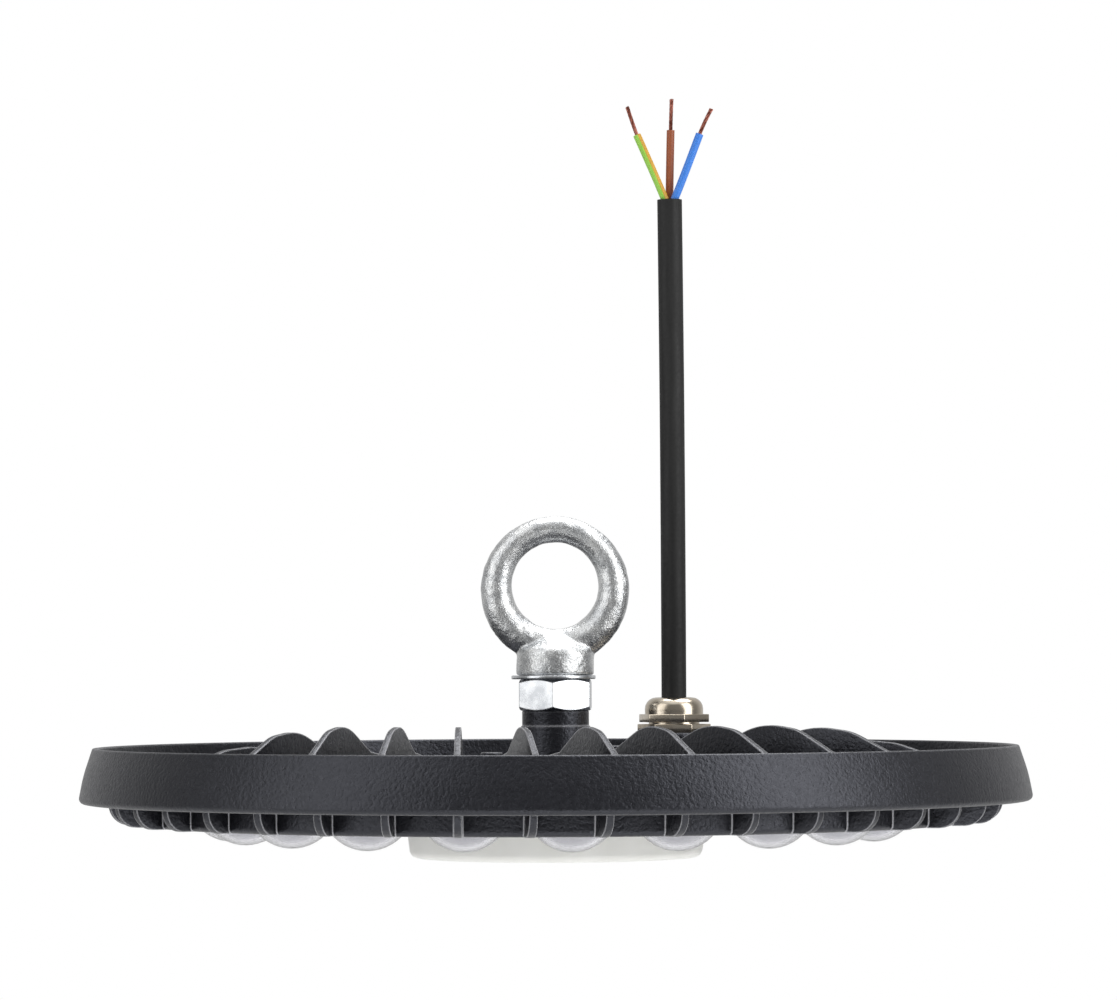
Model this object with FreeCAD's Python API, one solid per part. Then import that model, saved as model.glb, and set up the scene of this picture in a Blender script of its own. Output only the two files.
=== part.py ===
import FreeCAD, Part
import math
import os

# Round high bay light: a black die-cast heat sink with forty swirled fins inside an outer ring,
# a clear optic plate with twenty lens domes below, a milky centre cover, an eye bolt to hang it
# from, and a cable gland with a short three-core supply cable.
# Millimetres. The origin is on the lamp's axis, at the flat bottom of the centre cover. +Z is up.

V = FreeCAD.Vector
UP = V(0, 0, 1)
ORIGIN = V(0, 0, 0)

# ---------------------------------------------------------------- driving dimensions: casting
ring_outer_radius = 150.1      # widest point of the outer ring, at its foot
ring_taper = 4.5               # how far the rim's outer edge stands inside the ring's foot
ring_height = 17.2             # foot to rim
ring_bulge = 0.6               # how far the outer face swells beyond a straight cone
ring_bulge_radius = 45.0
rim_width = 1.8                # flat on top of the ring
foot_width = 7.6               # underside of the ring
ring_corner_radius = 1.6
ring_edge_radius = 0.5

cover_depth = 11.0             # housing's bottom plane above the bottom of the centre cover
skirt_drop = 6.8               # bottom plane below the ring's foot
skirt_gap = 11.5               # air gap between the ring's foot and the wall round the optics
skirt_width = 1.7
skirt_edge_radius = 1.5
deck_thickness = 3.8           # cast plate that the fins stand on
deck_edge_radius = 1.2

drum_radius = 60.0             # raised driver housing in the middle
drum_wall = 6.5
drum_sink = 4.0                # drum's top below the rim
roof_thickness = 2.5
drum_edge_radius = 1.0
drum_foot_step = 0.5           # recess for the LED board runs this far inside the drum's face

fin_count = 40
fin_swirl = 11.5               # degrees between a fin and the radius where it leaves the ring
fin_first_angle = -92.2        # degrees, direction of the first fin's outer end
fin_tip_thickness = 1.6
fin_root_thickness = 2.6
fin_seat = 0.9                 # how far a fin's end runs into the ring, the wall and the drum
fin_drop = 6.0                 # top of a fin without a hump, below the rim
fin_knee_reach = 13.5          # start of a hump, along the fin from its outer end
fin_knee_rise = 6.5            # above the rim
fin_knee_radius = 8.0
fin_crest_reach = 27.5
fin_crest_rise = 7.9
fin_crest_radius = 14.0
fin_tail_reach = 55.0          # where a hump is back at rim level
fin_tail_sink = 4.6            # inner end of a fin with a full hump, below the rim
hump_direction = -86.5         # degrees, middle of the row of fins with humps
hump_full_angle = 33.0         # fins this near the middle have the full hump
hump_fade_angle = 70.0         # fins this far from it have none
hump_least_share = 0.05        # a smaller share of a hump is left out
fin_shoulder_width = 2.2       # lower step between the ring's foot and the fin's round
fin_round_radius = 6.7         # convex round of the fin's lower outer corner

boss_radius = 10.55            # central boss at its top
boss_draft = 0.6               # extra radius at the boss's root
boss_rise = 11.2               # boss's top above the rim
boss_collar_drop = 4.9         # small step on the boss, below its top
boss_collar_step = 0.35
pad_count = 4
pad_radius = 3.3
pad_inset = 4.0                # pad's centre inside the drum's edge
pad_rise = 3.1                 # above the drum's top
pad_first_angle = -110.4

# ---------------------------------------------------------------- driving dimensions: optics
plate_thickness = 2.0
plate_recess = 0.2             # optic plate's underside above the bottom plane
plate_edge_clearance = 0.2
dome_count = 20
dome_inset = 16.0              # circle of domes inside the recess for the LED board
dome_first_angle = -87.3
dome_base_radius = 11.4
dome_depth = 5.7               # below the plate's underside
dome_wall = 1.6
cover_inset = 6.2              # centre cover, where it leaves the optic plate, inside the drum's wall
cover_draft = 1.4
cover_corner_radius = 2.8
cover_wall = 2.0
cover_flange_thickness = 1.8
cover_clearance = 0.2
cover_flange_lap = 2.5         # width of the shoulder that holds the flange down
gasket_width = 3.0
gasket_thickness = 1.6
gasket_inset = 6.8             # gasket's outer edge inside the skirt's inner face
led_room = 3.0                 # deck's underside above the optic plate
led_board_thickness = 1.6
led_size = 5.0
led_height = 0.8
led_die_radius = 1.9
led_recess_wall = 1.5          # between the gasket's groove and the recess for the LED board
led_board_clearance = 0.5

# ---------------------------------------------------------------- driving dimensions: screws
screw_radius = 1.5
thread_clearance = 0.05
hole_clearance = 0.15
flat_head_radius = 2.7
flat_head_height = 1.4
flat_screw_length = 6.4
pan_head_radius = 2.7
pan_head_height = 1.1
pan_screw_length = 4.2
driver_screw_length = 7.0
screw_tip_room = 0.4
plate_screw_count = 10
plate_screw_inset = 3.1        # screw's centre inside the optic plate's edge
plate_screw_first_angle = 9.0
board_screw_count = 8
driver_post_count = 4
driver_post_radius = 3.2
driver_post_inset = 6.0        # post centre inside the driver board's edge
driver_post_first_angle = 45.0

# ---------------------------------------------------------------- driving dimensions: driver
driver_room = 11.1             # roof's underside above the driver board's underside
driver_board_thickness = 1.6
driver_board_clearance = 3.5   # board's edge to the drum's wall
sheet_thickness = 0.5
sheet_clearance = 1.0
core_size = (20.0, 14.0, 13.0)         # transformer core: along x, along y, height
core_limb = 4.0
core_place = (-16.0, 12.0)
coil_clearance = 0.2
coil_bulge = 2.4
capacitor_radius = 5.0
capacitor_height = 12.5
capacitor_spacing = 11.5
capacitor_place = (-12.0, -20.0)
capacitor_edge = 0.6
choke_outer_radius = 7.0
choke_inner_radius = 3.0
choke_height = 6.0
choke_place = (14.0, -16.0)
chip_size = (7.0, 5.0, 1.6)
chip_count = 3
chip_spacing = 9.0
chip_place = (8.0, 14.0)
terminal_size = (16.0, 12.0, 5.6)
terminal_screw_radius = 1.7
terminal_screw_depth = 1.0
connector_size = (6.0, 5.0)
led_lead_radius = 0.45
led_lead_spacing = 2.2
led_lead_lift = 0.6            # lead's axis above the cover flange
led_lead_clearance = 0.15

# ---------------------------------------------------------------- driving dimensions: eye bolt
shank_radius = 7.0
shank_depth = 13.0             # length of thread in the boss
shank_tip_room = 1.0
nut_across_flats = 22.2
nut_height = 9.9
nut_corner_angle = -93.5       # direction of one corner
chamfer_land = 0.97            # flat end of a nut or gland hexagon, as a share of its flats' radius
nut_chamfer_angle = 30.0
washer_radius = 13.3
washer_thickness = 1.2
washer_clearance = 0.7
washer_offset = -0.6           # the washer sits a little to one side on the bolt
eye_collar_radius = 12.3
eye_collar_height = 8.0
eye_collar_edge = 0.7
eye_neck_rise = 12.6           # top of the collar's blend above its seat
eye_neck_radius = 5.5
eye_hole_radius = 13.6
eye_hole_rise = 28.3           # hole's centre above the collar's seat
eye_outer_radius = 23.5
eye_offset = 1.5               # outer circle's centre below the hole's centre
eye_land_width = 2.4           # narrow cylindrical land round the inside of the hole
eye_sections = 16
eye_blend_radius = 2.4

# ---------------------------------------------------------------- driving dimensions: gland
gland_place = 37.4             # gland's axis from the lamp's axis, along +X
gland_seat_radius = 12.1
gland_seat_rise = 4.3          # seat's top above the rim
gland_seat_edge = 1.2
gland_thread_radius = 8.0
gland_hex_across = 20.1
gland_hex_height = 2.5
gland_hex_corner_angle = -62.5
gland_chamfer_angle = 30.0
gland_bore_radius = 4.7
gland_neck_height = 0.6
gland_top_thread = 4.6         # upper thread inside the cap
gland_cap_across = 19.7
gland_cap_band = 2.5           # height of the cap's hexagon
gland_cap_corner_angle = -75.0
gland_cap_radius = 9.2
gland_cap_dome = 5.3           # height of the dome above the hexagon
gland_cap_dome_radius = 3.6
gland_cap_mouth_clearance = 0.7
gland_cap_roof = 1.5
bush_radius = 6.4
bush_seat_height = 1.2         # floor of the bush's pocket above the body's hexagon foot
o_ring_inner_radius = 8.4
o_ring_outer_radius = 10.0
o_ring_thickness = 1.2

# ---------------------------------------------------------------- driving dimensions: cable
jacket_radius = 3.925
jacket_end_room = 1.5          # jacket's inner end below the roof's underside
core_radius = 1.25
core_pitch_radius = 1.75       # cores' centres from the cable's axis
conductor_radius = 0.62

# Route of the jacket: offset along x from the gland's axis, and height above the rim plane.
jacket_route = [
    (0.0, None),
    (0.0, 35.0),
    (-0.06, 81.0),
    (-0.24, 127.0),
    (-0.6, 172.7),
]
# Route of each core from the jacket's end: along x and y from the cable's axis, and upwards.
earth_route = [(-1.52, -0.88, 0.0), (-3.7, -1.2, 5.6), (-10.3, -1.5, 20.5)]
live_route = [(0.0, 1.75, 0.0), (0.1, 2.1, 6.5), (0.5, 1.9, 22.3)]
neutral_route = [(1.52, -0.88, 0.0), (3.9, -1.2, 5.6), (9.6, -1.5, 20.7)]
# Route of each bare conductor, from the end of its core.
earth_tail = [(0.0, 0.0, 0.0), (-1.9, -0.1, 5.2), (-3.1, -0.1, 9.2)]
live_tail = [(0.0, 0.0, 0.0), (0.15, 0.0, 5.2), (0.35, 0.0, 10.2)]
neutral_tail = [(0.0, 0.0, 0.0), (1.6, -0.1, 4.0), (3.9, -0.1, 8.2)]

# ---------------------------------------------------------------- levels worked out from these
bottom_z = cover_depth
foot_z = bottom_z + skirt_drop
rim_z = foot_z + ring_height
plate_z = bottom_z + plate_recess
seat_z = plate_z + plate_thickness
flange_top_z = seat_z + cover_flange_thickness
deck_under_z = seat_z + led_room
deck_top_z = deck_under_z + deck_thickness
drum_top_z = rim_z - drum_sink
roof_z = drum_top_z - roof_thickness
led_board_z = deck_under_z - led_board_thickness
boss_top_z = rim_z + boss_rise
nut_top_z = boss_top_z + nut_height
eye_seat_z = nut_top_z + washer_thickness
gland_seat_z = rim_z + gland_seat_rise
gland_hex_top_z = gland_seat_z + gland_hex_height
gland_cap_z = gland_hex_top_z + gland_neck_height
gland_band_top_z = gland_cap_z + gland_cap_band
gland_top_z = gland_band_top_z + gland_cap_dome
driver_board_z = roof_z - driver_room
driver_board_top_z = driver_board_z + driver_board_thickness
jacket_end_z = roof_z - jacket_end_room
lead_z = flange_top_z + led_lead_lift

ring_top_radius = ring_outer_radius - ring_taper
foot_radius = ring_outer_radius - foot_width
skirt_radius = foot_radius - skirt_gap
skirt_inner_radius = skirt_radius - skirt_width
plate_radius = skirt_inner_radius - plate_edge_clearance
plate_screw_circle = plate_radius - plate_screw_inset
gasket_radius = skirt_inner_radius - gasket_inset
gasket_inner_radius = gasket_radius - gasket_width
led_recess_radius = gasket_inner_radius - led_recess_wall
dome_circle_radius = led_recess_radius - dome_inset
well_radius = drum_radius - drum_wall
drum_foot_radius = drum_radius - drum_foot_step
board_screw_circle = (dome_circle_radius + drum_foot_radius) / 2
pad_circle_radius = drum_radius - pad_inset
cover_radius = well_radius - cover_inset
flange_radius = well_radius + cover_flange_lap - cover_clearance
driver_board_radius = well_radius - driver_board_clearance
driver_post_circle = driver_board_radius - driver_post_inset
fin_outer_radius = ring_top_radius - rim_width + fin_seat


# ---------------------------------------------------------------- helpers
def point(x, z):
    return V(x, 0, z)


def rounded_face(corners):
    """Face in the XZ plane. Each corner is (x, z) or (x, z, radius of its round)."""
    edges = []
    ends = []
    count = len(corners)
    for i, corner in enumerate(corners):
        here = point(corner[0], corner[1])
        radius = corner[2] if len(corner) > 2 else 0.0
        if radius <= 0:
            ends.append((here, here, None))
            continue
        before = corners[i - 1]
        after = corners[(i + 1) % count]
        to_before = (point(before[0], before[1]) - here).normalize()
        to_after = (point(after[0], after[1]) - here).normalize()
        half = to_before.getAngle(to_after) / 2
        reach = radius / math.tan(half)
        inward = (to_before + to_after).normalize()
        middle = here + inward * (radius / math.sin(half) - radius)
        ends.append((here + to_before * reach, here + to_after * reach, middle))
    for i, (start, stop, middle) in enumerate(ends):
        if middle is not None:
            edges.append(Part.Arc(start, middle, stop).toShape())
        following = ends[(i + 1) % count][0]
        if stop.distanceToPoint(following) > 1e-6:
            edges.append(Part.LineSegment(stop, following).toShape())
    return Part.Face(Part.Wire(edges))


def turned(corners):
    """Solid of revolution about the Z axis."""
    return rounded_face(corners).revolve(ORIGIN, UP, 360)


def cylinder(radius, low, high, x=0.0, y=0.0):
    return Part.makeCylinder(radius, high - low, V(x, y, low))


def tube(outer, inner, low, high, x=0.0, y=0.0):
    return cylinder(outer, low, high, x, y).cut(cylinder(inner, low, high, x, y))


def block(size_x, size_y, low, high, x=0.0, y=0.0):
    return Part.makeBox(size_x, size_y, high - low, V(x - size_x / 2, y - size_y / 2, low))


def on_circle(radius, count, first_angle):
    """Centres spread evenly on a circle, the first at first_angle degrees."""
    places = []
    for i in range(count):
        angle = math.radians(first_angle + i * 360.0 / count)
        places.append((radius * math.cos(angle), radius * math.sin(angle)))
    return places


def hexagon(across_flats, low, high, corner_angle):
    corner_radius = across_flats / math.sqrt(3)
    corners = [V(x, y, low) for x, y in on_circle(corner_radius, 6, corner_angle)]
    face = Part.Face(Part.makePolygon(corners + corners[:1]))
    return face.extrude(UP * (high - low))


def chamfered_hexagon(across_flats, low, high, corner_angle, chamfer_angle, both_ends=True):
    """Hexagon whose corners are turned off by a cone that touches its flats."""
    prism = hexagon(across_flats, low, high, corner_angle)
    reach = across_flats / math.sqrt(3)
    land = across_flats / 2 * chamfer_land
    fall = (reach - land) * math.tan(math.radians(chamfer_angle))
    foot = (land, low) if both_ends else (reach, low)
    waist = (reach, low + fall) if both_ends else (reach, low + fall / 2)
    limit = turned([(0, low), foot, waist, (reach, high - fall), (land, high), (0, high)])
    return prism.common(limit)


def flat_screw(x, y, low):
    """Countersunk screw pointing up, its head's face at the given level."""
    shape = turned([
        (0, low),
        (flat_head_radius, low),
        (screw_radius, low + flat_head_height),
        (screw_radius, low + flat_screw_length),
        (0, low + flat_screw_length),
    ])
    return shape.translated(V(x, y, 0))


def pan_screw(x, y, seat, length):
    """Pan-head screw pointing up, its head below the given seat."""
    shape = turned([
        (0, seat - pan_head_height),
        (pan_head_radius, seat - pan_head_height, pan_head_height / 2),
        (pan_head_radius, seat),
        (screw_radius, seat),
        (screw_radius, seat + length),
        (0, seat + length),
    ])
    return shape.translated(V(x, y, 0))


def cord(points, radius, name):
    """Round cord along straight runs joined by arcs as large as the runs allow."""
    edges = []
    start = points[0]
    length = 0.0
    for i in range(1, len(points) - 1):
        here = points[i]
        back = points[i - 1] - here
        ahead = points[i + 1] - here
        shorter = min(back.Length, ahead.Length)
        turn = math.pi - back.getAngle(ahead)
        trim = 0.45 * shorter
        arc_radius = trim / math.tan(turn / 2)
        print(f"{name}: turn {math.degrees(turn):.2f} degrees, radius {arc_radius:.1f}")
        first = here + back.normalize() * trim
        last = here + ahead.normalize() * trim
        inward = (back + ahead).normalize()
        middle = here + inward * (arc_radius / math.cos(turn / 2) - arc_radius)
        edges.append(Part.LineSegment(start, first).toShape())
        edges.append(Part.Arc(first, middle, last).toShape())
        length += start.distanceToPoint(first) + arc_radius * turn
        start = last
    edges.append(Part.LineSegment(start, points[-1]).toShape())
    length += start.distanceToPoint(points[-1])
    direction = points[1] - points[0]
    section = Part.Wire([Part.makeCircle(radius, points[0], direction)])
    solid = Part.Wire(edges).makePipeShell([section], True, False)
    print(f"{name}: length {length:.2f}, volume / (section x length) "
          f"{solid.Volume / (math.pi * radius ** 2 * length):.5f}")
    return solid


# ---------------------------------------------------------------- housing casting
def fin_distance(radius):
    """Distance along a fin, from its outer end, at which it crosses a circle round the axis."""
    swirl = math.radians(fin_swirl)
    offset = fin_outer_radius * math.sin(swirl)
    return fin_outer_radius * math.cos(swirl) - math.sqrt(radius ** 2 - offset ** 2)


def make_ring():
    middle_z = (foot_z + rim_z) / 2
    middle_radius = (ring_outer_radius + ring_top_radius) / 2 + ring_bulge
    return turned([
        (foot_radius, foot_z, ring_edge_radius),
        (ring_outer_radius, foot_z, ring_corner_radius),
        (middle_radius, middle_z, ring_bulge_radius),
        (ring_top_radius, rim_z, ring_edge_radius),
        (ring_top_radius - rim_width, rim_z, ring_edge_radius),
    ])


def hump_share(fin_angle):
    """Share of the full hump that a fin has, from the direction of its outer end."""
    away = abs((fin_angle - hump_direction + 180) % 360 - 180)
    fade = (away - hump_full_angle) / (hump_fade_angle - hump_full_angle)
    share = (1 + math.cos(math.pi * min(max(fade, 0.0), 1.0))) / 2
    return share if share > hump_least_share else 0.0


def make_fin(share):
    """One fin, drafted from its root to its tip, with its outer end on +X."""
    base_z = rim_z - fin_drop * (1 - share)
    hump = []
    if share > 0:
        hump = [
            (fin_tail_reach, base_z),
            (fin_crest_reach, base_z + fin_crest_rise * share, fin_crest_radius),
            (fin_knee_reach, base_z + fin_knee_rise * share, fin_knee_radius),
        ]
    shoulder = fin_distance(foot_radius) + fin_shoulder_width
    skirt_end = fin_distance(skirt_radius - fin_seat)
    drum_end = fin_distance(drum_radius - fin_seat)
    deck_middle_z = (deck_under_z + deck_top_z) / 2
    outline = rounded_face([
        (0, base_z),
        (0, foot_z),
        (shoulder, foot_z),
        (shoulder, bottom_z, fin_round_radius),
        (skirt_end, bottom_z),
        (skirt_end, deck_middle_z),
        (drum_end, deck_middle_z),
        (drum_end, base_z - fin_tail_sink * share),
    ] + hump)
    half_root = fin_root_thickness / 2
    half_tip = fin_tip_thickness / 2
    crest_z = rim_z + fin_crest_rise
    slab = outline.extrude(V(0, fin_root_thickness, 0)).translated(V(0, -half_root, 0))
    section = Part.Face(Part.makePolygon([
        V(0, -half_root, bottom_z),
        V(0, half_root, bottom_z),
        V(0, half_tip, crest_z),
        V(0, -half_tip, crest_z),
        V(0, -half_root, bottom_z),
    ]))
    fin = slab.common(section.extrude(V(drum_end, 0, 0)))
    fin.rotate(ORIGIN, UP, 180 + fin_swirl)
    fin.translate(V(fin_outer_radius, 0, 0))
    return fin


def make_body():
    """The casting's turned middle: deck, skirt, gasket groove and driver drum."""
    groove_z = seat_z + gasket_thickness
    return turned([
        (0, drum_top_z),
        (drum_radius, drum_top_z, drum_edge_radius),
        (drum_radius, deck_top_z),
        (skirt_radius, deck_top_z, deck_edge_radius),
        (skirt_radius, bottom_z, skirt_edge_radius),
        (skirt_inner_radius, bottom_z),
        (skirt_inner_radius, seat_z),
        (gasket_radius, seat_z),
        (gasket_radius, groove_z),
        (gasket_inner_radius, groove_z),
        (gasket_inner_radius, seat_z),
        (led_recess_radius, seat_z),
        (led_recess_radius, deck_under_z),
        (drum_foot_radius, deck_under_z),
        (drum_foot_radius, seat_z),
        (well_radius + cover_flange_lap, seat_z),
        (well_radius + cover_flange_lap, flange_top_z),
        (well_radius, flange_top_z),
        (well_radius, roof_z),
        (0, roof_z),
    ])


def make_boss():
    collar_z = boss_top_z - boss_collar_drop
    root_z = (roof_z + drum_top_z) / 2
    return turned([
        (0, root_z),
        (boss_radius + boss_draft + boss_collar_step, root_z),
        (boss_radius + boss_collar_step, collar_z),
        (boss_radius, collar_z),
        (boss_radius, boss_top_z),
        (0, boss_top_z),
    ])


def make_gland_seat():
    root_z = (roof_z + drum_top_z) / 2
    seat = turned([
        (0, root_z),
        (gland_seat_radius, root_z),
        (gland_seat_radius, gland_seat_z, gland_seat_edge),
        (0, gland_seat_z),
    ])
    return seat.translated(V(gland_place, 0, 0))


def make_housing():
    additions = [make_ring(), make_boss(), make_gland_seat()]
    for i in range(fin_count):
        angle = fin_first_angle + i * 360.0 / fin_count
        fin = make_fin(hump_share(angle))
        fin.rotate(ORIGIN, UP, angle)
        additions.append(fin)
    root_z = (roof_z + drum_top_z) / 2
    for x, y in on_circle(pad_circle_radius, pad_count, pad_first_angle):
        additions.append(cylinder(pad_radius, root_z, drum_top_z + pad_rise, x, y))
    for x, y in on_circle(driver_post_circle, driver_post_count, driver_post_first_angle):
        additions.append(cylinder(driver_post_radius, driver_board_top_z, root_z, x, y))
    housing = make_body().fuse(additions)

    thread = thread_clearance
    holes = []
    shank_low = boss_top_z - shank_depth - shank_tip_room
    holes.append(cylinder(shank_radius + thread, shank_low, boss_top_z))
    holes.append(cylinder(gland_thread_radius + thread, roof_z, gland_seat_z, gland_place))
    o_ring_low = gland_seat_z - o_ring_thickness
    holes.append(cylinder(o_ring_outer_radius, o_ring_low, gland_seat_z, gland_place))
    for x, y in on_circle(plate_screw_circle, plate_screw_count, plate_screw_first_angle):
        high = plate_z + flat_screw_length + screw_tip_room
        holes.append(cylinder(screw_radius + thread, seat_z, high, x, y))
    for x, y in on_circle(board_screw_circle, board_screw_count, 0):
        high = led_board_z + pan_screw_length + screw_tip_room
        holes.append(cylinder(screw_radius + thread, deck_under_z, high, x, y))
    for x, y in on_circle(driver_post_circle, driver_post_count, driver_post_first_angle):
        high = driver_board_z + driver_screw_length + screw_tip_room
        holes.append(cylinder(screw_radius + thread, driver_board_top_z, high, x, y))
    lead_hole = led_lead_radius + led_lead_clearance
    for y in (-led_lead_spacing / 2, led_lead_spacing / 2):
        hole = Part.makeCylinder(lead_hole, drum_wall, V(-drum_radius, y, lead_z), V(1, 0, 0))
        holes.append(hole)
    return housing.cut(holes)


# ---------------------------------------------------------------- optics and light source
def dome_sphere(shrink, x, y):
    radius = (dome_base_radius ** 2 + dome_depth ** 2) / (2 * dome_depth)
    centre = V(x, y, plate_z - dome_depth + radius)
    return Part.makeSphere(radius - shrink, centre)


def make_optic_plate():
    plate = tube(plate_radius, cover_radius + cover_clearance, plate_z, seat_z)
    places = on_circle(dome_circle_radius, dome_count, dome_first_angle)
    reach = dome_base_radius * 2
    domes = []
    hollows = []
    for x, y in places:
        below = cylinder(reach, plate_z - dome_depth * 2, plate_z, x, y)
        inside = cylinder(reach, plate_z - dome_depth * 2, seat_z, x, y)
        domes.append(dome_sphere(0, x, y).common(below))
        hollows.append(dome_sphere(dome_wall, x, y).common(inside))
    plate = plate.fuse(domes)
    for x, y in on_circle(plate_screw_circle, plate_screw_count, plate_screw_first_angle):
        sink = turned([
            (0, plate_z),
            (flat_head_radius + hole_clearance, plate_z),
            (screw_radius + hole_clearance, plate_z + flat_head_height),
            (screw_radius + hole_clearance, seat_z),
            (0, seat_z),
        ])
        hollows.append(sink.translated(V(x, y, 0)))
    return plate.cut(hollows)


def make_centre_cover():
    bottom_radius = cover_radius - cover_draft
    return turned([
        (0, 0),
        (bottom_radius, 0, cover_corner_radius),
        (cover_radius, plate_z),
        (cover_radius, seat_z),
        (flange_radius, seat_z),
        (flange_radius, flange_top_z),
        (cover_radius - cover_wall, flange_top_z),
        (bottom_radius - cover_wall, cover_wall, cover_corner_radius - cover_wall / 2),
        (0, cover_wall),
    ])


def make_gasket():
    return tube(gasket_radius, gasket_inner_radius, seat_z, seat_z + gasket_thickness)


def make_led_board():
    outer = led_recess_radius - led_board_clearance
    inner = drum_foot_radius + led_board_clearance
    board = tube(outer, inner, led_board_z, deck_under_z)
    holes = []
    for x, y in on_circle(board_screw_circle, board_screw_count, 0):
        holes.append(cylinder(screw_radius + hole_clearance, led_board_z, deck_under_z, x, y))
    return board.cut(holes)


def make_leds():
    low = led_board_z - led_height
    lamps = []
    for x, y in on_circle(dome_circle_radius, dome_count, dome_first_angle):
        package = block(led_size, led_size, low, led_board_z, x, y)
        dish = cylinder(led_die_radius, low, low + led_height / 4, x, y)
        lamps.append(package.cut(dish))
    return Part.makeCompound(lamps)


def make_plate_screws():
    places = on_circle(plate_screw_circle, plate_screw_count, plate_screw_first_angle)
    return Part.makeCompound([flat_screw(x, y, plate_z) for x, y in places])


def make_led_board_screws():
    places = on_circle(board_screw_circle, board_screw_count, 0)
    return Part.makeCompound([pan_screw(x, y, led_board_z, pan_screw_length) for x, y in places])


def make_led_leads():
    start = -drum_foot_radius - led_board_clearance
    length = -driver_board_radius - start
    leads = []
    for y in (-led_lead_spacing / 2, led_lead_spacing / 2):
        place = V(start, y, lead_z)
        leads.append(Part.makeCylinder(led_lead_radius, length, place, V(1, 0, 0)))
    return Part.makeCompound(leads)


def make_led_connector():
    low = lead_z - led_lead_radius
    middle = -driver_board_radius + connector_size[0] / 2
    return block(connector_size[0], connector_size[1], low, driver_board_z, middle, 0)


# ---------------------------------------------------------------- driver
def make_driver_board():
    board = cylinder(driver_board_radius, driver_board_z, driver_board_top_z)
    holes = []
    for x, y in on_circle(driver_post_circle, driver_post_count, driver_post_first_angle):
        holes.append(cylinder(screw_radius + hole_clearance, driver_board_z, driver_board_top_z, x, y))
    return board.cut(holes)


def make_driver_screws():
    places = on_circle(driver_post_circle, driver_post_count, driver_post_first_angle)
    screws = [pan_screw(x, y, driver_board_z, driver_screw_length) for x, y in places]
    return Part.makeCompound(screws)


def make_insulating_sheet():
    low = roof_z - sheet_thickness
    sheet = cylinder(well_radius - sheet_clearance, low, roof_z)
    holes = [cylinder(gland_thread_radius + sheet_clearance, low, roof_z, gland_place)]
    for x, y in on_circle(driver_post_circle, driver_post_count, driver_post_first_angle):
        holes.append(cylinder(driver_post_radius + sheet_clearance, low, roof_z, x, y))
    return sheet.cut(holes)


def make_transformer_core():
    low = driver_board_z - core_size[2]
    core = block(core_size[0], core_size[1], low, driver_board_z, *core_place)
    window = (core_size[0] - 3 * core_limb) / 2
    step = (window + core_limb) / 2
    sill = core_limb / 2
    for x in (core_place[0] - step, core_place[0] + step):
        core = core.cut(block(window, core_size[1], low + sill, driver_board_z - sill, x, core_place[1]))
    return core


def make_transformer_coil():
    sill = core_limb / 2 + coil_clearance
    low = driver_board_z - core_size[2] + sill
    high = driver_board_z - sill
    window = (core_size[0] - 3 * core_limb) / 2
    outer_x = core_limb + 2 * (window - coil_clearance)
    outer_y = core_size[1] + 2 * coil_bulge
    coil = block(outer_x, outer_y, low, high, *core_place)
    upright = [e for e in coil.Edges if abs(e.Vertexes[0].Z - e.Vertexes[1].Z) > (high - low) / 2]
    coil = coil.makeFillet(coil_bulge, upright)
    limb_x = core_limb + 2 * coil_clearance
    limb_y = core_size[1] + 2 * coil_clearance
    return coil.cut(block(limb_x, limb_y, low, high, *core_place))


def make_capacitors():
    cans = []
    low = driver_board_z - capacitor_height
    can = turned([
        (0, low),
        (capacitor_radius, low, capacitor_edge),
        (capacitor_radius, driver_board_z),
        (0, driver_board_z),
    ])
    for step in (-0.5, 0.5):
        place = V(capacitor_place[0] + step * capacitor_spacing, capacitor_place[1], 0)
        cans.append(can.translated(place))
    return Part.makeCompound(cans)


def make_choke():
    low = driver_board_z - choke_height
    edge = (choke_outer_radius - choke_inner_radius) / 4
    choke = turned([
        (choke_inner_radius, low, edge),
        (choke_outer_radius, low, edge),
        (choke_outer_radius, driver_board_z, edge),
        (choke_inner_radius, driver_board_z, edge),
    ])
    return choke.translated(V(choke_place[0], choke_place[1], 0))


def make_driver_chips():
    low = driver_board_z - chip_size[2]
    chips = []
    for i in range(chip_count):
        x = chip_place[0] + i * chip_spacing
        chips.append(block(chip_size[0], chip_size[1], low, driver_board_z, x, chip_place[1]))
    return Part.makeCompound(chips)


def core_places():
    """Centres of the three cores inside the jacket."""
    return on_circle(core_pitch_radius, 3, 90)


def make_terminal_block():
    high = driver_board_top_z + terminal_size[2]
    terminal = block(terminal_size[0], terminal_size[1], driver_board_top_z, high, gland_place)
    sinks = []
    for step in (-1, 1):
        x = gland_place + step * terminal_size[0] / 3
        for y in (-terminal_size[1] / 4, terminal_size[1] / 4):
            sinks.append(cylinder(terminal_screw_radius, high - terminal_screw_depth, high, x, y))
    return terminal.cut(sinks)


def make_inner_leads():
    low = driver_board_top_z + terminal_size[2]
    leads = []
    for x, y in core_places():
        leads.append(cylinder(core_radius, low, jacket_end_z, gland_place + x, y))
    return Part.makeCompound(leads)


# ---------------------------------------------------------------- gland
def make_gland_body():
    neck_top = gland_cap_z + gland_top_thread
    pocket_z = gland_seat_z + bush_seat_height
    shape = chamfered_hexagon(gland_hex_across, gland_seat_z, gland_hex_top_z,
                              gland_hex_corner_angle, gland_chamfer_angle)
    shape = shape.fuse(cylinder(gland_thread_radius, roof_z, neck_top))
    shape = shape.cut([
        cylinder(gland_bore_radius, roof_z, neck_top),
        cylinder(bush_radius, pocket_z, neck_top),
    ])
    return shape.translated(V(gland_place, 0, 0))


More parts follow.
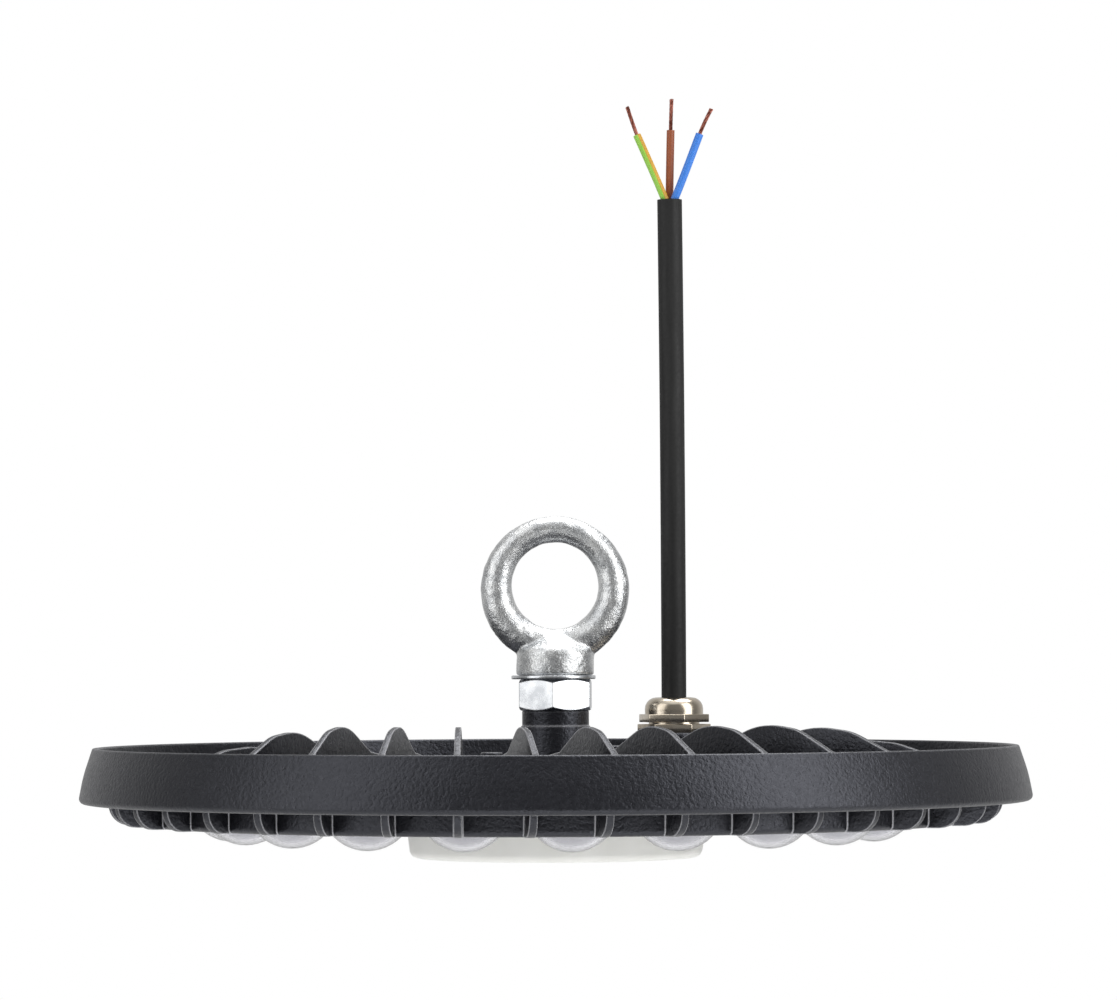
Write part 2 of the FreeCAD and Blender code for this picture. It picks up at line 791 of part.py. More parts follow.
def make_gland_cap():
    shape = chamfered_hexagon(gland_cap_across, gland_cap_z, gland_band_top_z,
                              gland_cap_corner_angle, gland_chamfer_angle)
    dome = turned([
        (0, gland_cap_z),
        (gland_cap_radius, gland_cap_z),
        (gland_cap_radius, gland_top_z, gland_cap_dome_radius),
        (0, gland_top_z),
    ])
    mouth = jacket_radius + gland_cap_mouth_clearance
    roof_low = gland_top_z - gland_cap_roof
    hollow = turned([
        (0, gland_cap_z),
        (gland_thread_radius + thread_clearance, gland_cap_z),
        (gland_thread_radius + thread_clearance, gland_cap_z + gland_top_thread),
        (bush_radius, roof_low),
        (mouth, roof_low),
        (mouth, gland_top_z),
        (0, gland_top_z),
    ])
    return shape.fuse(dome).cut(hollow).translated(V(gland_place, 0, 0))


def make_gland_bush():
    low = gland_seat_z + bush_seat_height
    high = gland_top_z - gland_cap_roof
    bush = tube(bush_radius - thread_clearance, jacket_radius, low, high)
    return bush.translated(V(gland_place, 0, 0))


def make_gland_o_ring():
    low = gland_seat_z - o_ring_thickness
    return tube(o_ring_outer_radius, o_ring_inner_radius, low, gland_seat_z, gland_place)


# ---------------------------------------------------------------- cable
def jacket_points():
    points = []
    for offset, height in jacket_route:
        z = jacket_end_z if height is None else rim_z + height
        points.append(V(gland_place + offset, 0, z))
    return points


def core_points(route):
    end = jacket_points()[-1]
    return [end + V(*step) for step in route]


def tail_points(route, tail):
    end = core_points(route)[-1]
    return [end + V(*step) for step in tail]


# ---------------------------------------------------------------- eye bolt, washer, nut
def make_eye_ring():
    """Forged ring whose section is thinner at the top, because its hole sits off centre."""
    hole_z = eye_seat_z + eye_hole_rise
    section_radius = (eye_outer_radius - eye_hole_radius) / 2
    half_land = eye_land_width / 2
    inner = eye_hole_radius - section_radius + math.sqrt(section_radius ** 2 - half_land ** 2)
    sections = []
    for i in range(eye_sections):
        angle = 2 * math.pi * i / eye_sections
        outward = V(math.cos(angle), 0, math.sin(angle))
        along = V(-math.sin(angle), 0, math.cos(angle))
        lift = eye_offset * math.sin(angle)
        across = eye_offset * math.cos(angle)
        outer = math.sqrt(eye_outer_radius ** 2 - across ** 2) - lift
        centre = V(0, 0, hole_z) + outward * (outer + inner) / 2
        circle = Part.makeCircle((outer - inner) / 2, centre, along)
        sections.append(Part.Wire([circle]))
    ring = Part.makeLoft(sections + sections[:1], True, False, False)
    start = V(0, -eye_outer_radius, hole_z)
    hole = Part.makeCylinder(eye_hole_radius, 2 * eye_outer_radius, start, V(0, 1, 0))
    return ring.cut(hole)


def make_eye_bolt():
    collar_top = eye_seat_z + eye_collar_height
    neck_top = eye_seat_z + eye_neck_rise
    stem = turned([
        (0, boss_top_z - shank_depth),
        (shank_radius, boss_top_z - shank_depth),
        (shank_radius, eye_seat_z),
        (eye_collar_radius, eye_seat_z, eye_collar_edge),
        (eye_collar_radius, collar_top, eye_blend_radius),
        (eye_neck_radius, neck_top),
        (0, neck_top),
    ])
    return stem.fuse(make_eye_ring())


def make_washer():
    inner = shank_radius + washer_clearance
    return tube(washer_radius, inner, nut_top_z, eye_seat_z).translated(V(washer_offset, 0, 0))


def make_lock_nut():
    nut = chamfered_hexagon(nut_across_flats, boss_top_z, nut_top_z,
                            nut_corner_angle, nut_chamfer_angle)
    return nut.cut(cylinder(shank_radius + thread_clearance, boss_top_z, nut_top_z))


# ---------------------------------------------------------------- export
def make_parts():
    return {
        "housing": make_housing(),
        "optic_plate": make_optic_plate(),
        "centre_cover": make_centre_cover(),
        "plate_gasket": make_gasket(),
        "plate_screws": make_plate_screws(),
        "led_board": make_led_board(),
        "leds": make_leds(),
        "led_board_screws": make_led_board_screws(),
        "led_leads": make_led_leads(),
        "led_connector": make_led_connector(),
        "driver_board": make_driver_board(),
        "driver_screws": make_driver_screws(),
        "insulating_sheet": make_insulating_sheet(),
        "transformer_core": make_transformer_core(),
        "transformer_coil": make_transformer_coil(),
        "capacitors": make_capacitors(),
        "choke": make_choke(),
        "driver_chips": make_driver_chips(),
        "terminal_block": make_terminal_block(),
        "inner_leads": make_inner_leads(),
        "gland_body": make_gland_body(),
        "gland_o_ring": make_gland_o_ring(),
        "gland_bush": make_gland_bush(),
        "gland_cap": make_gland_cap(),
        "cable_jacket": cord(jacket_points(), jacket_radius, "cable_jacket"),
        "earth_core": cord(core_points(earth_route), core_radius, "earth_core"),
        "live_core": cord(core_points(live_route), core_radius, "live_core"),
        "neutral_core": cord(core_points(neutral_route), core_radius, "neutral_core"),
        "earth_conductor": cord(tail_points(earth_route, earth_tail), conductor_radius,
                                "earth_conductor"),
        "live_conductor": cord(tail_points(live_route, live_tail), conductor_radius,
                               "live_conductor"),
        "neutral_conductor": cord(tail_points(neutral_route, neutral_tail), conductor_radius,
                                  "neutral_conductor"),
        "eye_bolt": make_eye_bolt(),
        "plain_washer": make_washer(),
        "lock_nut": make_lock_nut(),
    }


os.makedirs("parts", exist_ok=True)
for name, shape in make_parts().items():
    shape.exportStep(f"parts/{name}.step")
    print(f"{name}: {len(shape.Solids)} solid(s), valid {shape.isValid()}, volume {shape.Volume:.1f}")
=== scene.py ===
"""Finish of a round high bay light: casting, optics, eye bolt, gland, cable and a plain studio."""
import math
import random

import bpy
from mathutils import Matrix, Vector


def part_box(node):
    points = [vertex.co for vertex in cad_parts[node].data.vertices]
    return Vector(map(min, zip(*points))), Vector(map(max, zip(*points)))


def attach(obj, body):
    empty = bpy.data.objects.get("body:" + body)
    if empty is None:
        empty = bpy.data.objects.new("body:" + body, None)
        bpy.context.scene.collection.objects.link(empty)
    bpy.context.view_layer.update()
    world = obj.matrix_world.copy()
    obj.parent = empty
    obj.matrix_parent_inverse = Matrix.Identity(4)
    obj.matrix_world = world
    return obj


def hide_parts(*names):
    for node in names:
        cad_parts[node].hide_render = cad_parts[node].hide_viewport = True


bl_info = {
    "name": "High Bay Light",
    "version": (1, 0, 0),
    "blender": (4, 5, 0),
    "location": "View3D > Sidebar > High Bay",
    "description": "Models and finishes the pieces of a round high bay light",
    "category": "Object",
}

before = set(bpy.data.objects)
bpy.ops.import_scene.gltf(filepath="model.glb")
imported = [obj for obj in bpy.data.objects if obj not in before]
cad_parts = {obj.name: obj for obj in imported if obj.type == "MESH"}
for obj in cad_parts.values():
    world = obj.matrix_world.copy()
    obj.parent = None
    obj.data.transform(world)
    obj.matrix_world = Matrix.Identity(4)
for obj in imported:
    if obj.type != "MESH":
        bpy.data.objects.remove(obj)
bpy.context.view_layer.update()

MM = 0.001


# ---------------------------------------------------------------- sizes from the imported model
def low(name):
    """Lowest corner of a node's box."""
    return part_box(name)[0]


def high(name):
    """Highest corner of a node's box."""
    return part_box(name)[1]


def middle(name, axis):
    """Middle of a node's box along one axis."""
    return (low(name)[axis] + high(name)[axis]) / 2


def linear(code, alpha=1.0):
    """Linear colour of an sRGB hex code."""
    values = []
    for start in (1, 3, 5):
        value = int(code[start:start + 2], 16) / 255
        values.append(value / 12.92 if value <= 0.04045 else ((value + 0.055) / 1.055) ** 2.4)
    return (*values, alpha)


def per(size):
    """Texture scale whose features are about that many millimetres across."""
    return 1 / (size * MM)


# ---------------------------------------------------------------- settings
class HighBaySettings(bpy.types.PropertyGroup):
    """Sizes and colours that a user would change."""

    coat_color: bpy.props.FloatVectorProperty(
        name="Coat", description="Powder coat of the casting", subtype="COLOR", size=4,
        min=0.0, max=1.0, default=linear("#0e0e11"))
    cover_color: bpy.props.FloatVectorProperty(
        name="Cover", description="Milky centre cover", subtype="COLOR", size=4,
        min=0.0, max=1.0, default=linear("#f1f1ee"))
    zinc_color: bpy.props.FloatVectorProperty(
        name="Zinc", description="Zinc plate of the eye bolt", subtype="COLOR", size=4,
        min=0.0, max=1.0, default=linear("#eeefef"))
    jacket_color: bpy.props.FloatVectorProperty(
        name="Jacket", description="Rubber jacket of the cable", subtype="COLOR", size=4,
        min=0.0, max=1.0, default=linear("#080808"))
    edge_round: bpy.props.FloatProperty(
        name="Edge round", description="Round on the fins' edges", subtype="DISTANCE",
        unit="LENGTH", min=0.0001, max=0.001, default=0.2 * MM)
    forging_depth: bpy.props.FloatProperty(
        name="Forging depth", description="Unevenness of the forged eye", subtype="DISTANCE",
        unit="LENGTH", min=0.0, max=0.001, default=0.35 * MM)
    strand_radius: bpy.props.FloatProperty(
        name="Strand radius", description="Radius of one copper strand", subtype="DISTANCE",
        unit="LENGTH", min=0.00005, max=0.0005, default=0.2 * MM)
    camera_distance: bpy.props.FloatProperty(
        name="Camera distance", description="Camera to the lamp's axis", subtype="DISTANCE",
        unit="LENGTH", min=0.5, max=5.0, default=1.507)


# ---------------------------------------------------------------- node helper and materials
def add_node(tree, kind, settings=None, inputs=None):
    """Adds a node with its settings, values and links."""
    made = tree.nodes.new(kind)
    for key, value in (settings or {}).items():
        setattr(made, key, value)
    for key, value in (inputs or {}).items():
        socket = made.inputs[key]
        if isinstance(value, bpy.types.NodeSocket):
            tree.links.new(value, socket)
        else:
            socket.default_value = value
    return made


def new_material(name):
    """Material with an empty node tree."""
    made = bpy.data.materials.new(name)
    made.use_nodes = True
    made.node_tree.nodes.clear()
    return made


def close_material(made, values):
    """Puts the surface shader on the output, with constants straight on its sockets."""
    tree = made.node_tree
    shader = add_node(tree, "ShaderNodeBsdfPrincipled", inputs=values)
    add_node(tree, "ShaderNodeOutputMaterial", inputs={"Surface": shader.outputs["BSDF"]})
    return made


def noise(tree, size, detail=2.0, rough=0.5, stretch=(1, 1, 1)):
    """Noise with features about that many millimetres across, on the object's own coordinates."""
    coords = add_node(tree, "ShaderNodeTexCoord")
    scaled = add_node(tree, "ShaderNodeMapping",
                      inputs={"Vector": coords.outputs["Object"], "Scale": stretch})
    return add_node(tree, "ShaderNodeTexNoise", inputs={
        "Vector": scaled.outputs["Vector"],
        "Scale": per(size),
        "Detail": detail,
        "Roughness": rough,
    }).outputs["Fac"]


def spread(tree, value, low_end, high_end, start=0.3, stop=0.7):
    """Maps a noise value's usual range onto two ends."""
    return add_node(tree, "ShaderNodeMapRange", inputs={
        "Value": value, "From Min": start, "From Max": stop, "To Min": low_end, "To Max": high_end,
    }).outputs["Result"]


def blend(tree, factor, first, second):
    """Mixes two colours."""
    return add_node(tree, "ShaderNodeMix", {"data_type": "RGBA"}, {
        "Factor": factor, "A": first, "B": second,
    }).outputs["Result"]


def relief(tree, height, depth, strength=1.0, under=None):
    """Bump of that depth in millimetres, laid over another one if given."""
    values = {"Height": height, "Distance": depth * MM, "Strength": strength}
    if under is not None:
        values["Normal"] = under
    return add_node(tree, "ShaderNodeBump", inputs=values).outputs["Normal"]


def soft_edge(tree, radius):
    """Normal that rounds a piece's sharp edges by that many millimetres."""
    rounding = add_node(tree, "ShaderNodeBevel", {"samples": 6}, {"Radius": radius * MM})
    return rounding.outputs["Normal"]


def powder_coat(color):
    """Satin powder coat on die-cast aluminium: fine orange peel, with a painted highlight on its
    sharp edges.
    """
    made = new_material("satin_powder_coat")
    tree = made.node_tree
    peel = noise(tree, 1.1, 3.0, 0.6)
    casting = noise(tree, 9.0, 2.0)
    tone = noise(tree, 30.0, 2.0)
    paler = [channel * 1.25 for channel in color[:3]] + [1.0]
    shade = blend(tree, spread(tree, tone, 0.0, 1.0), color, paler)
    geometry = add_node(tree, "ShaderNodeNewGeometry")
    rounded_normal = soft_edge(tree, 0.75)
    alike = add_node(tree, "ShaderNodeVectorMath", {"operation": "DOT_PRODUCT"},
                     {0: rounded_normal, 1: geometry.outputs["Normal"]}).outputs["Value"]
    # Painted highlight: where the rounded normal turns away from the face's own, on sharp edges,
    # the base colour is blended towards pale grey #c6c6ca.
    painted_edge_highlight = spread(tree, alike, 1.0, 0.0, 0.86, 0.99)
    bump = relief(tree, casting, 0.3, 0.5, rounded_normal)
    return close_material(made, {
        "Base Color": blend(tree, painted_edge_highlight, shade, linear("#c6c6ca")),
        "Roughness": spread(tree, peel, 0.26, 0.42),
        "Specular IOR Level": 0.7,
        "Specular Tint": linear("#eef1ff"),
        "Normal": relief(tree, peel, 0.26, 1.0, bump),
    })


def clear_polycarbonate():
    """Clear moulded polycarbonate: polished, faintly cool, with slight flow marks."""
    made = new_material("clear_polycarbonate")
    tree = made.node_tree
    flow = noise(tree, 9.0, 1.0)
    return close_material(made, {
        "Base Color": linear("#e9e9ee"),
        "Transmission Weight": 1.0,
        "IOR": 1.585,
        "Roughness": spread(tree, flow, 0.1, 0.16),
        "Normal": relief(tree, flow, 0.05, 0.15),
    })


def milky_polycarbonate(color):
    """Opal polycarbonate: light scatters inside it, so its shading is soft and even."""
    made = new_material("opal_polycarbonate")
    tree = made.node_tree
    grain = noise(tree, 0.5, 2.0)
    cloud = noise(tree, 14.0, 2.0)
    return close_material(made, {
        "Base Color": blend(tree, spread(tree, cloud, 0.0, 1.0), color, linear("#eaeae6")),
        "Subsurface Weight": 0.35,
        "Subsurface Radius": (0.006, 0.006, 0.006),
        "Roughness": spread(tree, grain, 0.32, 0.42),
        "Normal": relief(tree, grain, 0.03, 0.2),
    })


def forged_zinc(color):
    """Bright zinc plate on a rough forging: lumpy and pitted, with duller patches."""
    made = new_material("zinc_plated_forging")
    tree = made.node_tree
    lumps = noise(tree, 1.5, 3.0, 0.65)
    pits = noise(tree, 0.5, 3.0, 0.7)
    stain = noise(tree, 5.0, 3.0)
    shade = blend(tree, spread(tree, stain, 0.0, 1.0, 0.4, 0.65), color, linear("#d0d2d4"))
    bump = relief(tree, lumps, 0.45, 0.5)
    return close_material(made, {
        "Base Color": shade,
        "Metallic": 1.0,
        "Roughness": spread(tree, pits, 0.2, 0.38),
        "Normal": relief(tree, pits, 0.22, 0.6, bump),
    })


def bright_zinc():
    """Bright zinc plate on machined steel: nearly white, with faint tool marks."""
    made = new_material("bright_zinc_plate")
    tree = made.node_tree
    marks = noise(tree, 1.2, 3.0, 0.6, (1, 1, 7))
    haze = noise(tree, 4.0, 2.0)
    shade = blend(tree, spread(tree, haze, 0.0, 1.0), linear("#e2e4e6"), linear("#d6d9dd"))
    return close_material(made, {
        "Base Color": shade,
        "Metallic": 1.0,
        "Roughness": spread(tree, haze, 0.2, 0.3),
        "Normal": relief(tree, marks, 0.04, 0.3, soft_edge(tree, 0.4)),
    })


def nickel_plate():
    """Bright nickel on turned brass: warm, with fine turning rings."""
    made = new_material("nickel_plated_brass")
    tree = made.node_tree
    rings = noise(tree, 0.6, 2.0, 0.5, (0.3, 0.3, 3))
    haze = noise(tree, 3.0, 2.0)
    shade = blend(tree, spread(tree, haze, 0.0, 1.0), linear("#d9cfbf"), linear("#c6baa8"))
    return close_material(made, {
        "Base Color": shade,
        "Metallic": 1.0,
        "Roughness": spread(tree, haze, 0.14, 0.24),
        "Normal": relief(tree, rings, 0.03, 0.25, soft_edge(tree, 0.2)),
    })


def copper():
    """Bare copper strands, drawn and a little oxidised."""
    made = new_material("bare_copper")
    tree = made.node_tree
    tarnish = noise(tree, 1.2, 3.0)
    shade = blend(tree, spread(tree, tarnish, 0.0, 1.0), linear("#b9786a"), linear("#6e3a2c"))
    return close_material(made, {
        "Base Color": shade,
        "Metallic": 1.0,
        "Roughness": spread(tree, tarnish, 0.28, 0.42),
        "Normal": relief(tree, tarnish, 0.02, 0.2),
    })


def extruded(name, first, second, rough, size, depth):
    """Extruded rubber or plastic: satin, with faint lines along its length."""
    made = new_material(name)
    tree = made.node_tree
    lines = noise(tree, size, 2.0, 0.5, (1, 1, 0.08))
    speckle = noise(tree, size / 2, 2.0)
    return close_material(made, {
        "Base Color": blend(tree, spread(tree, lines, 0.0, 1.0), first, second),
        "Roughness": spread(tree, speckle, rough, rough + 0.12),
        "Normal": relief(tree, speckle, depth, 0.4),
    })


def core_plastic(name, first, second, rough):
    """Insulation of one core."""
    return extruded(name, linear(first), linear(second), rough, 1.5, 0.02)


def moulded(name, first, second, rough, size=2.0, metallic=0.0):
    """Plain moulded, coated or ground surface with a slight grain."""
    made = new_material(name)
    tree = made.node_tree
    grain = noise(tree, size, 3.0)
    return close_material(made, {
        "Base Color": blend(tree, spread(tree, grain, 0.0, 1.0), linear(first), linear(second)),
        "Metallic": metallic,
        "Roughness": spread(tree, grain, rough, rough + 0.1),
        "Normal": relief(tree, grain, 0.02, 0.3),
    })


# ---------------------------------------------------------------- modelling helpers
SMOOTH_ANGLE = 32.0            # degrees, sharper edges of the modelled pieces stay sharp
CAD_SMOOTH_ANGLE = 28.0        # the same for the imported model's own nodes


def start_mesh():
    """Leaves nothing selected, in object mode."""
    if bpy.context.object and bpy.context.object.mode != "OBJECT":
        bpy.ops.object.mode_set(mode="OBJECT")
    bpy.ops.object.select_all(action="DESELECT")


def select(*pieces):
    """Selects only these pieces. The first is the active one."""
    bpy.ops.object.select_all(action="DESELECT")
    for piece in pieces:
        piece.select_set(True)
    bpy.context.view_layer.objects.active = pieces[0]


def dress(piece, *materials):
    """Gives a piece these materials and no others."""
    piece.data.materials.clear()
    for made in materials:
        piece.data.materials.append(made)


def settle(piece, name, slot, *nodes):
    """Names a finished piece, smooths it by angle, parents it to the root body and hides the
    imported nodes it replaces.
    """
    piece.name = name
    piece.data.name = name
    select(piece)
    bpy.ops.object.transform_apply(location=True, rotation=True, scale=True)
    bpy.ops.object.shade_smooth_by_angle(angle=math.radians(SMOOTH_ANGLE))
    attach(piece, "root")
    if nodes:
        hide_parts(*nodes)
    return piece


def rounded(corners, steps=5):
    """Closed outline of (x, z) or (x, z, radius) corners, in metres, its rounds as short chords."""
    outline = []
    for i, corner in enumerate(corners):
        here = Vector(corner[:2])
        if len(corner) < 3:
            outline.append(here)
            continue
        back = (Vector(corners[i - 1][:2]) - here).normalized()
        ahead = (Vector(corners[(i + 1) % len(corners)][:2]) - here).normalized()
        half = back.angle(ahead) / 2
        centre = here + (back + ahead).normalized() * corner[2] / math.sin(half)
        first = here + back * corner[2] / math.tan(half) - centre
        last = here + ahead * corner[2] / math.tan(half) - centre
        sweep = first.angle_signed(last)
        for step in range(steps + 1):
            angle = -sweep * step / steps
            turned = Vector((
                first.x * math.cos(angle) - first.y * math.sin(angle),
                first.x * math.sin(angle) + first.y * math.cos(angle),
            ))
            outline.append(centre + turned)
    return outline


def held(outline, hold=0.35 * MM):
    """The outline with extra points close to its corners, so smooth shading stays narrow there."""
    points = []
    for i, here in enumerate(outline):
        following = outline[(i + 1) % len(outline)]
        points.append(here)
        length = (following - here).length
        if length > 4 * hold:
            points.append(here.lerp(following, hold / length))
            points.append(following.lerp(here, hold / length))
    return points


def outline_mesh(corners, filled, steps=5):
    """A primitive ring of vertices laid along an outline in the XZ plane."""
    outline = held(rounded(corners, steps))
    start_mesh()
    bpy.ops.mesh.primitive_circle_add(vertices=len(outline), radius=0.01,
                                      fill_type="NGON" if filled else "NOTHING")
    piece = bpy.context.object
    for vertex, (x, z) in zip(piece.data.vertices, outline):
        vertex.co = (x, 0, z)
    return piece


def lathe(corners, steps, x=0.0):
    """Solid turned about an upright axis from a closed outline."""
    piece = outline_mesh(corners, False)
    bpy.ops.object.mode_set(mode="EDIT")
    bpy.ops.mesh.select_all(action="SELECT")
    bpy.ops.mesh.spin(steps=steps, angle=2 * math.pi, center=(0, 0, 0), axis=(0, 0, 1))
    bpy.ops.mesh.select_all(action="SELECT")
    bpy.ops.mesh.remove_doubles(threshold=1e-6)
    bpy.ops.mesh.normals_make_consistent(inside=False)
    bpy.ops.object.mode_set(mode="OBJECT")
    piece.data.transform(Matrix.Translation((x, 0, 0)))
    return piece


def joined(pieces):
    """One piece made of several."""
    select(*pieces)
    bpy.ops.object.join()
    return pieces[0]


def apply_modifier(piece, kind, **settings):
    """Adds a modifier with its settings and applies it."""
    bpy.context.view_layer.objects.active = piece
    made = piece.modifiers.new(kind, kind)
    for key, value in settings.items():
        setattr(made, key, value)
    bpy.ops.object.modifier_apply(modifier=made.name)


# ---------------------------------------------------------------- casting
WIDE_STEPS = 256               # facets round the ring and the body
NARROW_STEPS = 96              # facets round smaller turned pieces

# Levels and radii of the casting in millimetres. All but the humps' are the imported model's.
RING_OUTER = 150.1
RING_TOP = 145.6
RIM_WIDTH = 1.8
FOOT_WIDTH = 7.6
RING_BULGE = 0.6
RING_BULGE_ROUND = 45.0
RING_CORNER_ROUND = 1.6
RING_EDGE_ROUND = 0.5

SKIRT = 131.0
SKIRT_WIDTH = 1.7
SKIRT_ROUND = 1.5
DECK_ROUND = 1.2
BOARD_RECESS_OUTER = 118.0
BOARD_RECESS_INNER = 59.5
COVER_SEAT = 56.0
COVER_SEAT_DEPTH = 1.8
DRUM = 60.0
DRUM_ROUND = 1.0
WELL = 53.5

BOTTOM_Z = 11.0
SEAT_Z = 13.2
DECK_UNDER_Z = 16.2
FOOT_Z = 17.8
DECK_Z = 20.0
ROOF_Z = 28.5
DRUM_Z = 31.0
RIM_Z = 35.0

FIN_COUNT = 40
FIN_SWIRL = 11.5
FIN_FIRST_ANGLE = -92.2
FIN_SEAT = 0.9                 # a fin's ends run this far into the walls
FIN_END = RING_TOP - RIM_WIDTH + FIN_SEAT
FIN_DROP = 6.0
FIN_SHOULDER_WIDTH = 2.2
FIN_LOWER_ROUND = 6.7
FIN_ROUND_STEPS = 8
FIN_HALF_ROOT = 1.3            # half a fin's thickness at its foot
FIN_HALF_TAPER = 0.5           # taken off that up to the top of a full hump
FIN_SHARP_ANGLE = 70.0         # degrees, edges this sharp get the fins' round

# A hump's points as reach along the fin, rise above the rim and round.
KNEE = (13.5, 6.6, 20.0)
CREST = (27.5, 8.4, 28.0)
TAIL_REACH = 48.0
TAIL_SINK = 4.6
HUMP_DIRECTION = -86.5
HUMP_FULL_ANGLE = 33.0
HUMP_FADE_ANGLE = 70.0
HUMP_LEAST_SHARE = 0.05

INTO_ROOF = 1.0                # boss, gland seat and pads start this far inside the roof
BOSS_ROOT = 11.5
BOSS_UNDER_COLLAR = 10.9
BOSS_TOP = 10.55
COLLAR_LOW_DROP = 4.9          # foot of the step on the boss, below its top
COLLAR_HIGH_DROP = 4.7
GLAND_SEAT = 12.1
PAD_COUNT = 4
PAD_CIRCLE = 56.0
PAD_RADIUS = 3.3
PAD_RISE = 3.1
PAD_STEPS = 40
PAD_FIRST_ANGLE = -110.4


def scaled(corners):
    """Corners in metres from corners in millimetres."""
    return [tuple(value * MM for value in corner) for corner in corners]


def make_ring():
    """Outer ring, swelling a little between its foot and its rim."""
    middle_radius = (RING_OUTER + RING_TOP) / 2 + RING_BULGE
    return lathe(scaled([
        (RING_OUTER - FOOT_WIDTH, FOOT_Z, RING_EDGE_ROUND),
        (RING_OUTER, FOOT_Z, RING_CORNER_ROUND),
        (middle_radius, (FOOT_Z + RIM_Z) / 2, RING_BULGE_ROUND),
        (RING_TOP, RIM_Z, RING_EDGE_ROUND),
        (RING_TOP - RIM_WIDTH, RIM_Z, RING_EDGE_ROUND),
    ]), WIDE_STEPS)


def make_body():
    """Drum, deck and skirt, with the recesses for the light source, the cover and the driver."""
    return lathe(scaled([
        (0, DRUM_Z),
        (DRUM, DRUM_Z, DRUM_ROUND),
        (DRUM, DECK_Z),
        (SKIRT, DECK_Z, DECK_ROUND),
        (SKIRT, BOTTOM_Z, SKIRT_ROUND),
        (SKIRT - SKIRT_WIDTH, BOTTOM_Z),
        (SKIRT - SKIRT_WIDTH, SEAT_Z),
        (BOARD_RECESS_OUTER, SEAT_Z),
        (BOARD_RECESS_OUTER, DECK_UNDER_Z),
        (BOARD_RECESS_INNER, DECK_UNDER_Z),
        (BOARD_RECESS_INNER, SEAT_Z),
        (COVER_SEAT, SEAT_Z),
        (COVER_SEAT, SEAT_Z + COVER_SEAT_DEPTH),
        (WELL, SEAT_Z + COVER_SEAT_DEPTH),
        (WELL, ROOF_Z),
        (0, ROOF_Z),
    ]), WIDE_STEPS)


def fin_distance(radius):
    """Distance along a fin, from its outer end, at which it crosses a circle round the axis."""
    swirl = math.radians(FIN_SWIRL)
    offset = FIN_END * math.sin(swirl)
    return FIN_END * math.cos(swirl) - math.sqrt(radius ** 2 - offset ** 2)


def hump_share(fin_angle):
    """Share of the full hump that a fin has, from the direction of its outer end."""
    away = abs((fin_angle - HUMP_DIRECTION + 180) % 360 - 180)
    fade = (away - HUMP_FULL_ANGLE) / (HUMP_FADE_ANGLE - HUMP_FULL_ANGLE)
    share = (1 + math.cos(math.pi * min(max(fade, 0.0), 1.0))) / 2
    return share if share > HUMP_LEAST_SHARE else 0.0


def make_fin(share, edge_round):
    """One fin with soft edges, its outer end on +X."""
    base_z = RIM_Z - FIN_DROP * (1 - share)
    hump = []
    if share > 0:
        hump = [
            (TAIL_REACH, base_z),
            (CREST[0], base_z + CREST[1] * share, CREST[2]),
            (KNEE[0], base_z + KNEE[1] * share, KNEE[2]),
        ]
    shoulder = fin_distance(RING_OUTER - FOOT_WIDTH) + FIN_SHOULDER_WIDTH
    skirt_end = fin_distance(SKIRT - FIN_SEAT)
    drum_end = fin_distance(DRUM - FIN_SEAT)
    deck_middle = (DECK_UNDER_Z + DECK_Z) / 2
    piece = outline_mesh(scaled([
        (0, base_z),
        (0, FOOT_Z),
        (shoulder, FOOT_Z),
        (shoulder, BOTTOM_Z, FIN_LOWER_ROUND),
        (skirt_end, BOTTOM_Z),
        (skirt_end, deck_middle),
        (drum_end, deck_middle),
        (drum_end, base_z - TAIL_SINK * share),
    ] + hump), True, FIN_ROUND_STEPS)
    bpy.ops.object.mode_set(mode="EDIT")
    bpy.ops.mesh.select_all(action="SELECT")
    bpy.ops.mesh.extrude_region_move(TRANSFORM_OT_translate={"value": (0, 2.0 * MM, 0)})
    bpy.ops.object.mode_set(mode="OBJECT")
    for vertex in piece.data.vertices:
        rise = (vertex.co.z / MM - BOTTOM_Z) / (RIM_Z + CREST[1] - BOTTOM_Z)
        half = (FIN_HALF_ROOT - FIN_HALF_TAPER * rise) * MM
        vertex.co.y = half if vertex.co.y > 1.0 * MM else -half
    bpy.ops.object.mode_set(mode="EDIT")
    bpy.ops.mesh.select_mode(type="EDGE")
    bpy.ops.mesh.select_all(action="SELECT")
    bpy.ops.mesh.normals_make_consistent(inside=False)
    bpy.ops.mesh.select_all(action="DESELECT")
    bpy.ops.mesh.edges_select_sharp(sharpness=math.radians(FIN_SHARP_ANGLE))
    bpy.ops.mesh.bevel(offset=edge_round, segments=2, affect="EDGES", clamp_overlap=True)
    bpy.ops.object.mode_set(mode="OBJECT")
    turn = Matrix.Rotation(math.radians(180 + FIN_SWIRL), 4, "Z")
    piece.data.transform(Matrix.Translation((FIN_END * MM, 0, 0)) @ turn)
    return piece


def copies_round(piece, count, first_angle):
    """Copies of a piece round the lamp's axis, each with its own mesh. The first is the piece."""
    made = [piece]
    for i in range(1, count):
        copy = piece.copy()
        copy.data = piece.data.copy()
        bpy.context.collection.objects.link(copy)
        made.append(copy)
    for i, copy in enumerate(made):
        angle = math.radians(first_angle + i * 360 / count)
        copy.data.transform(Matrix.Rotation(angle, 4, "Z"))
    return made


